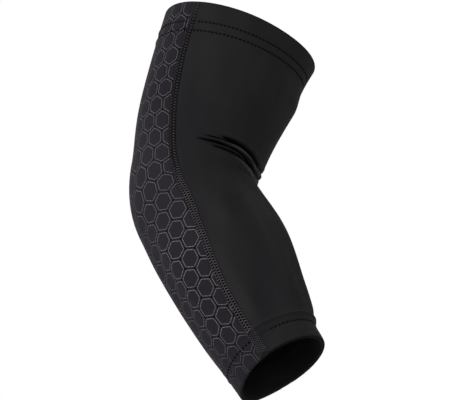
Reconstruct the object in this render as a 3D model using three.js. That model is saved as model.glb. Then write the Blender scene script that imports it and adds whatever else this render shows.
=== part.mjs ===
import * as THREE from 'three';

// Elbow compression sleeve, a knitted tube in the form it takes on a bent elbow.
// Millimetres, +Z up. The elbow bends in the XZ plane and its back faces -X.
// The origin is the middle of the hollow at the elbow.
// A section is found by its distance from the upper rim, measured along the crease side of the
// two tubes and round half the depth of the bend. Angles round a section start at the back of
// the elbow and pass the near side (-Y) at 90 degrees and the front at 180.

// Lengths of the two tubes, from the crease to the rims, and how each leans from the vertical.
const UPPER_LENGTH = 98.5;
const LOWER_LENGTH = 131;
const UPPER_LEAN = 12;
const LOWER_LEAN = 23.5;

// Outside sizes of the sections: depth from front to back, width from side to side.
const ELBOW_DEPTH = 89;
const ELBOW_WIDTH = 80;
const UPPER_MOUTH_DEPTH = 119;
const UPPER_MOUTH_WIDTH = 113;
const LOWER_MOUTH_DEPTH = 63.5;
const LOWER_MOUTH_WIDTH = 59;

// Front line: how far the upper rim stands forward of the crease, how far the lower tube swells
// forward below it, and how far the lower rim stands back.
const UPPER_LEAD = 27.5;
const LOWER_SWELL = 4.5;
const LOWER_TUCK = 5;

// Bend radius inside the crease, and the length to each side over which the back and the width
// are rounded off where the tubes meet the bend.
const CREASE_RADIUS = 2.2;
const ELBOW_EASE = 20;

// The rims are cut a little askew to their tubes.
const UPPER_RIM_TILT = 9.5;
const LOWER_RIM_TILT = 5.5;

// Cloth: knit panels, turned-in hems and the flat-stitched seams, which stand a little proud.
const PANEL_WALL = 1.2;
const HEM_WALL = 1;
const HEM_DEPTH = 20;
const SEAM_WIDTH = 5.5;
const SEAM_PROUD = 0.4;
const CLOTH_GAP = 0.3;

// Where the seams run, in degrees from the back of the elbow at shares of the sleeve's length
// from the upper rim. They come furthest forward at the crease.
const SEAM_LINE = [
  { along: 0, angle: 71 },
  { along: 0.14, angle: 73 },
  { along: 0.34, angle: 82 },
  { along: 0.44, angle: 90.2 },
  { along: 0.52, angle: 91.2 },
  { along: 0.62, angle: 86.3 },
  { along: 0.78, angle: 81.3 },
  { along: 1, angle: 80.6 },
];

// Folds pushed up above the crease: height of the highest one over the crease, how far round
// from the front they run, their depth and half width, and the angle over which they dip to the
// front.
const FOLD_RISE = 14;
const FOLD_REACH = 76;
const FOLD_DEPTH = 2.2;
const FOLD_HALF_WIDTH = 2.7;
const FOLD_DIP_ANGLE = 25;

// The front of the upper mouth is blunt, drawn in from the rim down: how deep, over what length
// and how far round.
const UPPER_BLUNT = 4.5;
const UPPER_BLUNT_LENGTH = 37;
const UPPER_BLUNT_SPREAD = 57;

// The cloth draws in at the front just above the lower rim, so that the hem flares there: how
// deep, the length over which it comes and goes, and how far round it spreads.
const LOWER_DRAW_IN = 2;
const DRAW_IN_LENGTH = 28;
const DRAW_IN_SPREAD = 45;

// The back of the lower mouth hangs down and stands out a little: how far each way, over what
// length above the rim and how far round.
const TAIL_DROP = 4.3;
const TAIL_FLARE = 3.7;
const TAIL_LENGTH = 56;
const TAIL_SPREAD = 52;

// Form of the upper tube, at shares of its length up from the crease. Lead is a share of
// UPPER_LEAD, size the share of the way from the elbow's section to the mouth's, and egg how
// much narrower the back of the section is than its front.
const UPPER_FORM = [
  { along: 0, lead: 0, size: 0, egg: 0.08 },
  { along: 0.33, lead: 0.24, size: 0.37, egg: 0.05 },
  { along: 0.66, lead: 0.6, size: 0.69, egg: 0.03 },
  { along: 1, lead: 1, size: 1, egg: 0 },
];

// Form of the lower tube, at shares of its length down from the crease. Swell and tuck are
// shares of LOWER_SWELL and LOWER_TUCK.
const LOWER_FORM = [
  { along: 0, swell: 0, tuck: 0, size: 0, egg: 0.08 },
  { along: 0.33, swell: 1, tuck: 0, size: -0.07, egg: 0.05 },
  { along: 0.66, swell: 0, tuck: 0, size: 0.33, egg: 0.03 },
  { along: 1, swell: 0, tuck: 1, size: 1, egg: 0 },
];

// Folds, as shares of the fold sizes above. Dip is the share of its height that a fold loses
// towards the front, and start the share of its reach at which it sets in.
const FOLDS = [
  { rise: 1, dip: 0.36, start: 0.1, reach: 1, depth: 1, width: 1 },
  { rise: 0.65, dip: 0.62, start: 0.03, reach: 0.96, depth: 1, width: 0.9 },
  { rise: 0.46, dip: 0.5, start: 0.14, reach: 0.74, depth: 0.6, width: 0.7 },
];

// Steps of the surface along and round the sleeve, and of the rounding at the elbow.
const EASE_STEPS = 5;
const HEM_ROWS = 4;
const UPPER_ROWS = 6;
const FOLD_ROWS = 13;
const PLAIN_FOLD_ROWS = 3;
const BEND_ROWS = 6;
const LOWER_ROWS = 12;
const PLAIN_LOWER_ROWS = 10;
const FRONT_COLUMNS = 22;
const BACK_COLUMNS = 14;

const DEGREE = Math.PI / 180;
const FULL_TURN = 2 * Math.PI;
const bendLength = (ELBOW_DEPTH / 2) * (UPPER_LEAN + LOWER_LEAN) * DEGREE;
const bendEnd = UPPER_LENGTH + bendLength;
const sleeveLength = bendEnd + LOWER_LENGTH;

/** Value of one column of a table of sections, on a smooth curve through its rows, and on a
 * straight line past the last one. */
function tableValue(rows, column, along) {
  const last = rows.length - 1;
  const slope = (index) => {
    const before = rows[Math.max(index - 1, 0)];
    const after = rows[Math.min(index + 1, last)];
    return (after[column] - before[column]) / (after.along - before.along);
  };
  const past = along - rows[last].along;
  if (past > 0) return rows[last][column] + past * slope(last);
  let index = 0;
  while (index < last - 1 && along >= rows[index + 1].along) index += 1;
  const from = rows[index];
  const to = rows[index + 1];
  const span = to.along - from.along;
  const t = (along - from.along) / span;
  const ease = t * t * (3 - 2 * t);
  const out = t * (1 - t) * (1 - t) * span * slope(index);
  const back = t * t * (1 - t) * span * slope(index + 1);
  return from[column] * (1 - ease) + to[column] * ease + out - back;
}

/** Shape of the section at a distance from the upper rim, before it is rounded off. */
function plainSection(distance) {
  const up = (UPPER_LENGTH - distance) / UPPER_LENGTH;
  const down = (distance - bendEnd) / LOWER_LENGTH;
  let front = CREASE_RADIUS;
  let depth = ELBOW_DEPTH;
  let width = ELBOW_WIDTH;
  let egg = UPPER_FORM[0].egg;
  if (up > 0) {
    const size = tableValue(UPPER_FORM, 'size', up);
    front -= UPPER_LEAD * tableValue(UPPER_FORM, 'lead', up);
    depth += (UPPER_MOUTH_DEPTH - ELBOW_DEPTH) * size;
    width += (UPPER_MOUTH_WIDTH - ELBOW_WIDTH) * size;
    egg = tableValue(UPPER_FORM, 'egg', up);
  } else if (down > 0) {
    const size = tableValue(LOWER_FORM, 'size', down);
    front -= LOWER_SWELL * tableValue(LOWER_FORM, 'swell', down);
    front += LOWER_TUCK * tableValue(LOWER_FORM, 'tuck', down);
    depth += (LOWER_MOUTH_DEPTH - ELBOW_DEPTH) * size;
    width += (LOWER_MOUTH_WIDTH - ELBOW_WIDTH) * size;
    egg = tableValue(LOWER_FORM, 'egg', down);
  }
  return { front, back: front + depth, halfWidth: width / 2, egg };
}

/** Mean of one size of the section round a distance, counting the middle most. */
function easedSize(distance, size) {
  let total = 0;
  let weights = 0;
  for (let step = 1 - EASE_STEPS; step < EASE_STEPS; step += 1) {
    const weight = EASE_STEPS - Math.abs(step);
    total += weight * plainSection(distance + (ELBOW_EASE * step) / EASE_STEPS)[size];
    weights += weight;
  }
  return total / weights;
}

/** Section at a distance from the upper rim: its place and direction in the XZ plane, its
 * front and back measured from the crease line, its half width and its egg. */
function sectionAt(distance) {
  const section = plainSection(distance);
  const back = easedSize(distance, 'back');
  const up = Math.max(UPPER_LENGTH - distance, 0);
  const down = Math.max(distance - bendEnd, 0);
  const turn = THREE.MathUtils.clamp((distance - UPPER_LENGTH) / bendLength, 0, 1);
  const tilt = UPPER_RIM_TILT * (up / UPPER_LENGTH) ** 2 - LOWER_RIM_TILT * (down / LOWER_LENGTH) ** 2;
  const lean = (UPPER_LEAN * (1 - turn) - LOWER_LEAN * turn + tilt) * DEGREE;
  return {
    x: up * Math.sin(UPPER_LEAN * DEGREE) + down * Math.sin(LOWER_LEAN * DEGREE),
    z: up * Math.cos(UPPER_LEAN * DEGREE) - down * Math.cos(LOWER_LEAN * DEGREE),
    backX: -Math.cos(lean),
    backZ: Math.sin(lean),
    middle: (section.front + back) / 2,
    halfDepth: (back - section.front) / 2,
    halfWidth: easedSize(distance, 'halfWidth'),
    egg: section.egg,
  };
}

/** Point of the outer surface on a section, with no folds. */
function pointOnSection(section, angle) {
  const reach = section.middle + section.halfDepth * Math.cos(angle);
  const side = section.halfWidth * Math.sin(angle) * (1 - section.egg * Math.cos(angle));
  return new THREE.Vector3(
    section.x + reach * section.backX,
    -side,
    section.z + reach * section.backZ,
  );
}

/** Depth of the folds above the crease, at a distance from the upper rim and an angle. */
function foldDepth(distance, angle) {
  const fromFront = Math.abs(angle / DEGREE - 180);
  let depth = 0;
  for (const fold of FOLDS) {
    const reach = FOLD_REACH * fold.reach;
    const start = FOLD_REACH * fold.start;
    const dip = fold.dip * Math.exp(-((fromFront / FOLD_DIP_ANGLE) ** 2));
    const line = UPPER_LENGTH - FOLD_RISE * fold.rise * (1 - dip);
    const across = Math.abs(distance - line) / (FOLD_HALF_WIDTH * fold.width);
    if (across >= 1 || fromFront >= reach) continue;
    const fadeIn = THREE.MathUtils.smoothstep(fromFront, start, start + FOLD_DIP_ANGLE / 2);
    const fadeOut = 1 - THREE.MathUtils.smoothstep(fromFront, reach * 0.6, reach);
    depth += FOLD_DEPTH * fold.depth * fadeIn * fadeOut * (1 + Math.cos(Math.PI * across)) / 2;
  }
  return depth;
}

/** Depth by which the front draws in near the rims, at a distance and an angle. */
function drawInDepth(distance, angle) {
  const fromFront = angle / DEGREE - 180;
  const upperShare = THREE.MathUtils.clamp(distance / UPPER_BLUNT_LENGTH, 0, 1);
  const lowerShare = THREE.MathUtils.clamp((sleeveLength - distance) / DRAW_IN_LENGTH, 0, 1);
  const upper = UPPER_BLUNT * (1 + Math.cos(Math.PI * upperShare ** 2)) / 2;
  const lower = LOWER_DRAW_IN * (1 - Math.cos(FULL_TURN * lowerShare)) / 2;
  return upper * Math.exp(-((fromFront / UPPER_BLUNT_SPREAD) ** 4))
    + lower * Math.exp(-((fromFront / DRAW_IN_SPREAD) ** 2));
}

/** Share, from 0 to 1, of the tail at the back of the lower mouth. */
function tailShare(distance, angle) {
  const fromBack = angle / DEGREE - 360 * Math.round(angle / FULL_TURN);
  const share = 1 - THREE.MathUtils.clamp((sleeveLength - distance) / TAIL_LENGTH, 0, 1);
  return share ** 2 * Math.exp(-((fromBack / TAIL_SPREAD) ** 2));
}

/** Point at a depth below the outer surface, folds included. */
function clothPoint(distance, angle, depth) {
  const step = 0.4;
  const tail = tailShare(distance, angle);
  const place = distance + TAIL_DROP * tail;
  const section = sectionAt(place);
  const point = pointOnSection(section, angle);
  const along = pointOnSection(sectionAt(place + step), angle)
    .sub(pointOnSection(sectionAt(place - step), angle));
  const round = pointOnSection(section, angle + step * DEGREE)
    .sub(pointOnSection(section, angle - step * DEGREE));
  const inward = along.cross(round).normalize();
  const centre = new THREE.Vector3(
    section.x + section.middle * section.backX,
    0,
    section.z + section.middle * section.backZ,
  );
  if (inward.dot(centre.sub(point)) < 0) inward.negate();
  const reliefDepth = foldDepth(distance, angle) + drawInDepth(distance, angle) - TAIL_FLARE * tail;
  return point.addScaledVector(inward, depth + reliefDepth);
}

/** Angle of the near seam's middle line. The far seam mirrors it. */
function seamAngle(distance) {
  return tableValue(SEAM_LINE, 'angle', distance / sleeveLength) * DEGREE;
}

/** Angles where the seam and the two panels end, on both sides of the near seam. */
function seamEdges(distance) {
  const middle = seamAngle(distance);
  const section = sectionAt(distance);
  const step = DEGREE / 2;
  const chord = pointOnSection(section, middle + step).distanceTo(pointOnSection(section, middle - step));
  const anglePerMillimetre = (2 * step) / chord;
  const seam = (SEAM_WIDTH / 2) * anglePerMillimetre;
  const panel = (SEAM_WIDTH / 2 + CLOTH_GAP) * anglePerMillimetre;
  return {
    seamBack: middle - seam,
    seamFront: middle + seam,
    panelBack: middle - panel,
    panelFront: middle + panel,
  };
}

/** Evenly spaced values from one number to another, both included. */
function spread(from, to, steps) {
  return Array.from({ length: steps + 1 }, (_, index) => from + ((to - from) * index) / steps);
}

/** Distances of the surface's rows, with closer or wider steps over the folds and below. */
function sleeveRows(foldRows, lowerRows) {
  const foldTop = UPPER_LENGTH - FOLD_RISE - 2 * FOLD_HALF_WIDTH;
  return [
    ...spread(0, HEM_DEPTH, HEM_ROWS),
    ...spread(HEM_DEPTH, foldTop, UPPER_ROWS).slice(1),
    ...spread(foldTop, UPPER_LENGTH, foldRows).slice(1),
    ...spread(UPPER_LENGTH, bendEnd, BEND_ROWS).slice(1),
    ...spread(bendEnd, sleeveLength - HEM_DEPTH, lowerRows).slice(1),
    ...spread(sleeveLength - HEM_DEPTH, sleeveLength, HEM_ROWS).slice(1),
  ];
}

/** Angles of the front panel's columns, from the near seam round the front to the far seam. */
function frontColumns(distance) {
  const edge = seamEdges(distance).panelFront;
  return spread(edge, FULL_TURN - edge, FRONT_COLUMNS);
}

/** Angles of the back panel's columns, from the far seam round the back to the near seam. */
function backColumns(distance) {
  const edge = seamEdges(distance).panelBack;
  return spread(FULL_TURN - edge, FULL_TURN + edge, BACK_COLUMNS);
}

/** Angles of the near seam's two edges, a turn on so that they follow the back panel's. */
function nearSeamColumns(distance) {
  const edges = seamEdges(distance);
  return [FULL_TURN + edges.seamBack, FULL_TURN + edges.seamFront];
}

/** Angles of the far seam's two edges. */
function farSeamColumns(distance) {
  const edges = seamEdges(distance);
  return [FULL_TURN - edges.seamFront, FULL_TURN - edges.seamBack];
}

/** Angles all the way round, on the same lines as the panels and seams. */
function hemColumns(distance) {
  return [
    ...frontColumns(distance),
    ...farSeamColumns(distance),
    ...backColumns(distance),
    ...nearSeamColumns(distance),
  ];
}

/** Closed wall of cloth between two depths, over rows of columns that may join into a ring. */
function clothWall(rows, columnsAt, outerDepth, innerDepth, isRing) {
  const positions = [];
  const indices = [];
  const columnCount = columnsAt(rows[0]).length;
  for (const depth of [outerDepth, innerDepth]) {
    for (const distance of rows) {
      for (const angle of columnsAt(distance)) {
        positions.push(...clothPoint(distance, angle, depth).toArray());
      }
    }
  }
  const inner = rows.length * columnCount;
  const at = (row, column) => row * columnCount + (column % columnCount);
  const quad = (a, b, c, d) => indices.push(a, b, c, a, c, d);
  const lastRow = rows.length - 1;
  const lastColumn = isRing ? columnCount : columnCount - 1;
  for (let column = 0; column < lastColumn; column += 1) {
    for (let row = 0; row < lastRow; row += 1) {
      const a = at(row, column);
      const b = at(row + 1, column);
      const c = at(row + 1, column + 1);
      const d = at(row, column + 1);
      quad(a, b, c, d);
      quad(inner + d, inner + c, inner + b, inner + a);
    }
    quad(at(0, column), at(0, column + 1), inner + at(0, column + 1), inner + at(0, column));
    quad(
      at(lastRow, column + 1),
      at(lastRow, column),
      inner + at(lastRow, column),
      inner + at(lastRow, column + 1),
    );
  }
  if (!isRing) {
    for (let row = 0; row < lastRow; row += 1) {
      quad(at(row + 1, 0), at(row, 0), inner + at(row, 0), inner + at(row + 1, 0));
      quad(
        at(row, lastColumn),
        at(row + 1, lastColumn),
        inner + at(row + 1, lastColumn),
        inner + at(row, lastColumn),
      );
    }
  }
  const geometry = new THREE.BufferGeometry();
  geometry.setAttribute('position', new THREE.Float32BufferAttribute(positions, 3));
  geometry.setIndex(indices);
  geometry.computeVertexNormals();
  return geometry;
}

/** Named mesh of one piece of cloth in its own finish. */
function clothPiece(name, geometry, color, roughness) {
  const material = new THREE.MeshStandardMaterial({ color, roughness, metalness: 0 });
  const mesh = new THREE.Mesh(geometry, material);
  mesh.name = name;
  return mesh;
}

/** The two knit panels. */
function makePanels() {
  const front = clothWall(sleeveRows(FOLD_ROWS, LOWER_ROWS), frontColumns, 0, PANEL_WALL, false);
  const back = clothWall(
    sleeveRows(PLAIN_FOLD_ROWS, PLAIN_LOWER_ROWS),
    backColumns,
    0,
    PANEL_WALL,
    false,
  );
  return [
    clothPiece('front_panel', front, 0x222223, 0.82),
    clothPiece('back_panel', back, 0x3b383d, 0.85),
  ];
}

/** The two flat-stitched seams between the panels. */
function makeSeams() {
  const rows = sleeveRows(PLAIN_FOLD_ROWS, PLAIN_LOWER_ROWS);
  const near = clothWall(rows, nearSeamColumns, -SEAM_PROUD, PANEL_WALL, false);
  const far = clothWall(rows, farSeamColumns, -SEAM_PROUD, PANEL_WALL, false);
  return [
    clothPiece('near_seam', near, 0x6a6264, 0.75),
    clothPiece('far_seam', far, 0x6a6264, 0.75),
  ];
}

/** The turned-in hems, just inside the panels at the two mouths. */
function makeHems() {
  const outer = PANEL_WALL + CLOTH_GAP;
  const upperRows = spread(0, HEM_DEPTH, HEM_ROWS);
  const lowerRows = spread(sleeveLength - HEM_DEPTH, sleeveLength, HEM_ROWS);
  const upper = clothWall(upperRows, hemColumns, outer, outer + HEM_WALL, true);
  const lower = clothWall(lowerRows, hemColumns, outer, outer + HEM_WALL, true);
  return [
    clothPiece('upper_hem', upper, 0x242425, 0.85),
    clothPiece('lower_hem', lower, 0x242425, 0.85),
  ];
}

/** The whole sleeve, moved so that the middle of the hollow at the elbow is the origin. */
function makeSleeve() {
  const sleeve = new THREE.Group();
  sleeve.add(...makePanels(), ...makeSeams(), ...makeHems());
  const elbow = sectionAt(UPPER_LENGTH + bendLength / 2);
  sleeve.position.set(
    -(elbow.x + elbow.middle * elbow.backX),
    0,
    -(elbow.z + elbow.middle * elbow.backZ),
  );
  return sleeve;
}

export default makeSleeve();
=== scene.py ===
"""Elbow compression sleeve: the knitted panels, flat seams, hems and stitches over the fixed frame."""

import json
import logging
import math
from dataclasses import dataclass, field
from enum import Enum
from typing import Any

import bpy
import numpy as np
from mathutils import Matrix, Vector


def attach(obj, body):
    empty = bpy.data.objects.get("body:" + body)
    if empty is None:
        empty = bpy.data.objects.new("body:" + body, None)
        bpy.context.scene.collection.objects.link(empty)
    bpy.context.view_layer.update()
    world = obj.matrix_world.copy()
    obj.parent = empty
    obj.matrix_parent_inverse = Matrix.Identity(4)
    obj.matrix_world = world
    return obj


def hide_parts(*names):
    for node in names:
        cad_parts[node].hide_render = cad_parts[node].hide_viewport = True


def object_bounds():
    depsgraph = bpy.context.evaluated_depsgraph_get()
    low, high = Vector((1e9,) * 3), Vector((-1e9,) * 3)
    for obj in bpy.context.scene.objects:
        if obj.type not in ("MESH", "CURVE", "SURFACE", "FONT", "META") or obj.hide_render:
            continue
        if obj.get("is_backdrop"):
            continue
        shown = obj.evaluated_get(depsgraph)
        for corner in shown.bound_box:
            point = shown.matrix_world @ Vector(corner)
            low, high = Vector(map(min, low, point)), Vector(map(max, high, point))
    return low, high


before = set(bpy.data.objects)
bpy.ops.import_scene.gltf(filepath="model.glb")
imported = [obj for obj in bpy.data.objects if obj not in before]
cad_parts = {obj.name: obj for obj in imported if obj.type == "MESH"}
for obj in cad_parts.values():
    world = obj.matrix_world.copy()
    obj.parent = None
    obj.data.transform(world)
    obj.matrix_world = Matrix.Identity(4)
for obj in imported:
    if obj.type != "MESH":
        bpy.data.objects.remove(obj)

LOG = logging.getLogger("sleeve")
MM = 0.001
MM_PER_CM = 10
FULL_TURN = 2 * math.pi
BODY = "root"

Array = np.ndarray


class Side(Enum):
    """The two sides of the sleeve, by the sign that their angles take."""

    NEAR = 1
    FAR = -1


class Mouth(Enum):
    """The two open ends of the sleeve."""

    UPPER = "upper"
    LOWER = "lower"


@dataclass(frozen=True)
class Row:
    """One section in a table of shares: how far along it lies, and its front line, size and egg."""

    along: float
    lead: float
    swell: float
    size: float
    egg: float


@dataclass(frozen=True)
class SeamPoint:
    """One point of the seam: its share of the sleeve's length and its angle in degrees."""

    along: float
    angle: float


@dataclass(frozen=True)
class Fold:
    """One fold above the crease, as shares of the fold sizes.

    It runs round the front from its start to its reach, rises above the crease at the sides and
    dips at the front.
    """

    rise: float
    dip: float
    start: float
    reach: float
    depth: float
    width: float


@dataclass(frozen=True)
class Wave:
    """One wave of the ripples: its height, its count round the sleeve, its lean and its phase."""

    height: float
    count: int
    lean: float
    phase: float


def table_value(rows: tuple[Any, ...], column: str, along: Array) -> Array:
    """Values of one column of a table, on a smooth curve through its rows.

    Args:
        rows: The table's rows, in order.
        column: Name of the column.
        along: Shares along the tube. Past the last row the curve goes on straight.

    Returns:
        The column's value at each share.
    """
    place = np.array([row.along for row in rows])
    value = np.array([getattr(row, column) for row in rows])
    slope = np.gradient(value, place)
    slope[1:-1] = (value[2:] - value[:-2]) / (place[2:] - place[:-2])
    index = np.clip(np.searchsorted(place, along, side="right") - 1, 0, len(rows) - 2)
    span = place[index + 1] - place[index]
    t = (along - place[index]) / span
    ease = t * t * (3 - 2 * t)
    inside = (
        value[index] * (1 - ease)
        + value[index + 1] * ease
        + t * (1 - t) ** 2 * span * slope[index]
        - t * t * (1 - t) * span * slope[index + 1]
    )
    past = along - place[-1]
    return np.where(past > 0, value[-1] + past * slope[-1], inside)


def smooth_step(value: Array, low: float, high: float) -> Array:
    """Smooth rise from 0 at low to 1 at high."""
    share = np.clip((value - low) / (high - low), 0, 1)
    return share * share * (3 - 2 * share)


def bell(offset: Array, reach: float) -> Array:
    """Bell curve that is 1 in its middle and has sunk to 0.37 at its reach."""
    return np.exp(-((offset / reach) ** 2))


def past_front(angle: Array) -> Array:
    """Angles past the middle of the front, below 0 on the near side."""
    return np.mod(angle, FULL_TURN) - math.pi


def past_back(angle: Array) -> Array:
    """Angles past the middle of the back, above 0 on the near side."""
    return np.mod(angle + math.pi, FULL_TURN) - math.pi


@dataclass(frozen=True)
class SleeveForm:
    """The sleeve's outer surface in millimetres, by distance from the upper rim and angle.

    Angles start at the back of the elbow and pass the near side at a quarter turn.
    """

    upper_length: float = 98.5
    lower_length: float = 131
    upper_lean: float = math.radians(12)
    lower_lean: float = math.radians(23.5)
    elbow_depth: float = 89
    elbow_width: float = 80
    upper_mouth_depth: float = 119
    upper_mouth_width: float = 113
    lower_mouth_depth: float = 63.5
    lower_mouth_width: float = 59
    upper_lead: float = 27.5
    lower_swell: float = 4.5
    lower_tuck: float = 5
    crease_radius: float = 2.2
    elbow_ease: float = 20
    ease_steps: int = 5
    upper_rim_tilt: float = math.radians(9.5)
    lower_rim_tilt: float = math.radians(5.5)
    fold_rise: float = 14
    fold_reach: float = math.radians(76)
    fold_depth: float = 2.2
    fold_half_width: float = 2.7
    fold_dip_angle: float = math.radians(25)
    upper_blunt: float = 4.5
    upper_blunt_length: float = 37
    upper_blunt_spread: float = math.radians(57)
    lower_draw_in: float = 2
    draw_in_length: float = 28
    draw_in_spread: float = math.radians(45)
    tail_drop: float = 4.3
    tail_flare: float = 3.7
    tail_length: float = 56
    tail_spread: float = math.radians(52)
    upper_form: tuple[Row, ...] = (
        Row(0, 0, 0, 0, 0.08),
        Row(0.33, 0.24, 0, 0.37, 0.05),
        Row(0.66, 0.6, 0, 0.69, 0.03),
        Row(1, 1, 0, 1, 0),
    )
    lower_form: tuple[Row, ...] = (
        Row(0, 0, 0, 0, 0.08),
        Row(0.33, 0, 1, -0.07, 0.05),
        Row(0.66, 0, 0, 0.33, 0.03),
        Row(1, 1, 0, 1, 0),
    )
    seam_line: tuple[SeamPoint, ...] = (
        SeamPoint(0, 71),
        SeamPoint(0.14, 73),
        SeamPoint(0.34, 82),
        SeamPoint(0.44, 90.2),
        SeamPoint(0.52, 91.2),
        SeamPoint(0.62, 86.3),
        SeamPoint(0.78, 81.3),
        SeamPoint(1, 80.6),
    )
    folds: tuple[Fold, ...] = (
        Fold(1, 0.36, 0.1, 1, 1, 1),
        Fold(0.65, 0.62, 0.03, 0.96, 1, 0.9),
        Fold(0.46, 0.5, 0.14, 0.74, 0.6, 0.7),
    )

    @property
    def bend_length(self) -> float:
        """Length of the bend at half the elbow's depth."""
        return self.elbow_depth / 2 * (self.upper_lean + self.lower_lean)

    @property
    def bend_end(self) -> float:
        """Distance at which the lower tube starts."""
        return self.upper_length + self.bend_length

    @property
    def bend_middle(self) -> float:
        """Distance of the section in the middle of the bend."""
        return self.upper_length + self.bend_length / 2

    @property
    def length(self) -> float:
        """Distance of the lower rim."""
        return self.bend_end + self.lower_length

    def from_rim(self, distance: Array) -> Array:
        """Distances from the nearer rim."""
        return np.minimum(distance, self.length - distance)

    def plain_sizes(self, distance: Array) -> dict[str, Array]:
        """Front, back, half width and egg of the sections, before they are rounded off.

        Args:
            distance: Distances from the upper rim.

        Returns:
            The four sizes by name.
        """
        up = (self.upper_length - distance) / self.upper_length
        down = (distance - self.bend_end) / self.lower_length
        above = np.clip(up, 0, None)
        below = np.clip(down, 0, None)
        is_up = up > 0

        def column(name: str) -> Array:
            """Value of a column in the table that holds each section."""
            upper = table_value(self.upper_form, name, above)
            return np.where(is_up, upper, table_value(self.lower_form, name, below))

        size = column("size")
        mouth_depth = np.where(is_up, self.upper_mouth_depth, self.lower_mouth_depth)
        mouth_width = np.where(is_up, self.upper_mouth_width, self.lower_mouth_width)
        lead = np.where(is_up, -self.upper_lead, self.lower_tuck) * column("lead")
        front = self.crease_radius + lead - self.lower_swell * column("swell")
        depth = self.elbow_depth + (mouth_depth - self.elbow_depth) * size
        width = self.elbow_width + (mouth_width - self.elbow_width) * size
        return {"front": front, "back": front + depth, "half_width": width / 2, "egg": column("egg")}

    def sections(self, distance: Array) -> dict[str, Array]:
        """Place, direction and size of the sections.

        Args:
            distance: Distances from the upper rim.

        Returns:
            The sections' place on the crease line, their direction to the back, the middle and
            half depth along it, the half width and the egg.
        """
        plain = self.plain_sizes(distance)
        back = np.zeros_like(distance)
        half_width = np.zeros_like(distance)
        for step in range(1 - self.ease_steps, self.ease_steps):
            weight = (self.ease_steps - abs(step)) / self.ease_steps**2
            near = self.plain_sizes(distance + self.elbow_ease * step / self.ease_steps)
            back = back + weight * near["back"]
            half_width = half_width + weight * near["half_width"]
        up = np.clip(self.upper_length - distance, 0, None)
        down = np.clip(distance - self.bend_end, 0, None)
        turn = np.clip((distance - self.upper_length) / self.bend_length, 0, 1)
        tilt = self.upper_rim_tilt * (up / self.upper_length) ** 2
        tilt = tilt - self.lower_rim_tilt * (down / self.lower_length) ** 2
        lean = self.upper_lean * (1 - turn) - self.lower_lean * turn + tilt
        return {
            "x": up * math.sin(self.upper_lean) + down * math.sin(self.lower_lean),
            "z": up * math.cos(self.upper_lean) - down * math.cos(self.lower_lean),
            "back_x": -np.cos(lean),
            "back_z": np.sin(lean),
            "middle": (plain["front"] + back) / 2,
            "half_depth": (back - plain["front"]) / 2,
            "half_width": half_width,
            "egg": plain["egg"],
        }

    def base_points(self, distance: Array, angle: Array) -> Array:
        """Points of the outer surface with no folds, from the crease line.

        Args:
            distance: Distances from the upper rim.
            angle: Angles round the sections, of the same shape.

        Returns:
            The points, in millimetres.
        """
        s = self.sections(distance)
        reach = s["middle"] + s["half_depth"] * np.cos(angle)
        side = s["half_width"] * np.sin(angle) * (1 - s["egg"] * np.cos(angle))
        return np.stack([s["x"] + reach * s["back_x"], -side, s["z"] + reach * s["back_z"]], -1)

    def crease_line(self) -> Array:
        """Place of the crease line's end on the bend.

        Returns:
            The place in millimetres, from the middle of the elbow's hollow.
        """
        s = self.sections(np.array([self.bend_middle]))
        x = float((s["x"] + s["middle"] * s["back_x"])[0])
        z = float((s["z"] + s["middle"] * s["back_z"])[0])
        return np.array([-x, 0.0, -z])

    def fold_lines(self, angle: Array, folds: tuple[Fold, ...]) -> list[tuple[Fold, Array, Array]]:
        """Where folds run above the crease, and how strong they are.

        Args:
            angle: Angles round the sections.
            folds: The folds.

        Returns:
            Each fold with its distances from the upper rim and its strengths from 0 to 1.
        """
        from_front = np.abs(past_front(angle))
        lines = []
        for fold in folds:
            reach = self.fold_reach * fold.reach
            start = self.fold_reach * fold.start
            dip = fold.dip * bell(from_front, self.fold_dip_angle)
            line = self.upper_length - self.fold_rise * fold.rise * (1 - dip)
            fade_in = smooth_step(from_front, start, start + self.fold_dip_angle / 2)
            fade_out = 1 - smooth_step(from_front, reach * 0.6, reach)
            lines.append((fold, line, fade_in * fade_out))
        return lines

    def fold_depths(self, distance: Array, angle: Array) -> Array:
        """Depths of the folds as the frame's solids have them.

        Args:
            distance: Distances from the upper rim.
            angle: Angles round the sections.

        Returns:
            Depth below the surface at each point.
        """
        total = np.zeros_like(distance)
        for fold, line, strength in self.fold_lines(angle, self.folds):
            across = np.clip(np.abs(distance - line) / (self.fold_half_width * fold.width), 0, 1)
            total = total + self.fold_depth * fold.depth * strength * (1 + np.cos(math.pi * across)) / 2
        return total

    def inward(self, distance: Array, angle: Array) -> Array:
        """Unit normals that point into the hollow.

        Args:
            distance: Distances from the upper rim.
            angle: Angles round the sections.

        Returns:
            The normals.
        """
        step = 0.4
        turn = math.radians(step)
        along = self.base_points(distance + step, angle) - self.base_points(distance - step, angle)
        round_it = self.base_points(distance, angle + turn) - self.base_points(distance, angle - turn)
        normal = np.cross(along, round_it)
        normal /= np.linalg.norm(normal, axis=-1, keepdims=True)
        s = self.sections(distance)
        centre = np.stack(
            [s["x"] + s["middle"] * s["back_x"], 0 * s["x"], s["z"] + s["middle"] * s["back_z"]], -1
        )
        towards = ((centre - self.base_points(distance, angle)) * normal).sum(-1, keepdims=True)
        return np.where(towards < 0, -normal, normal)

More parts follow.
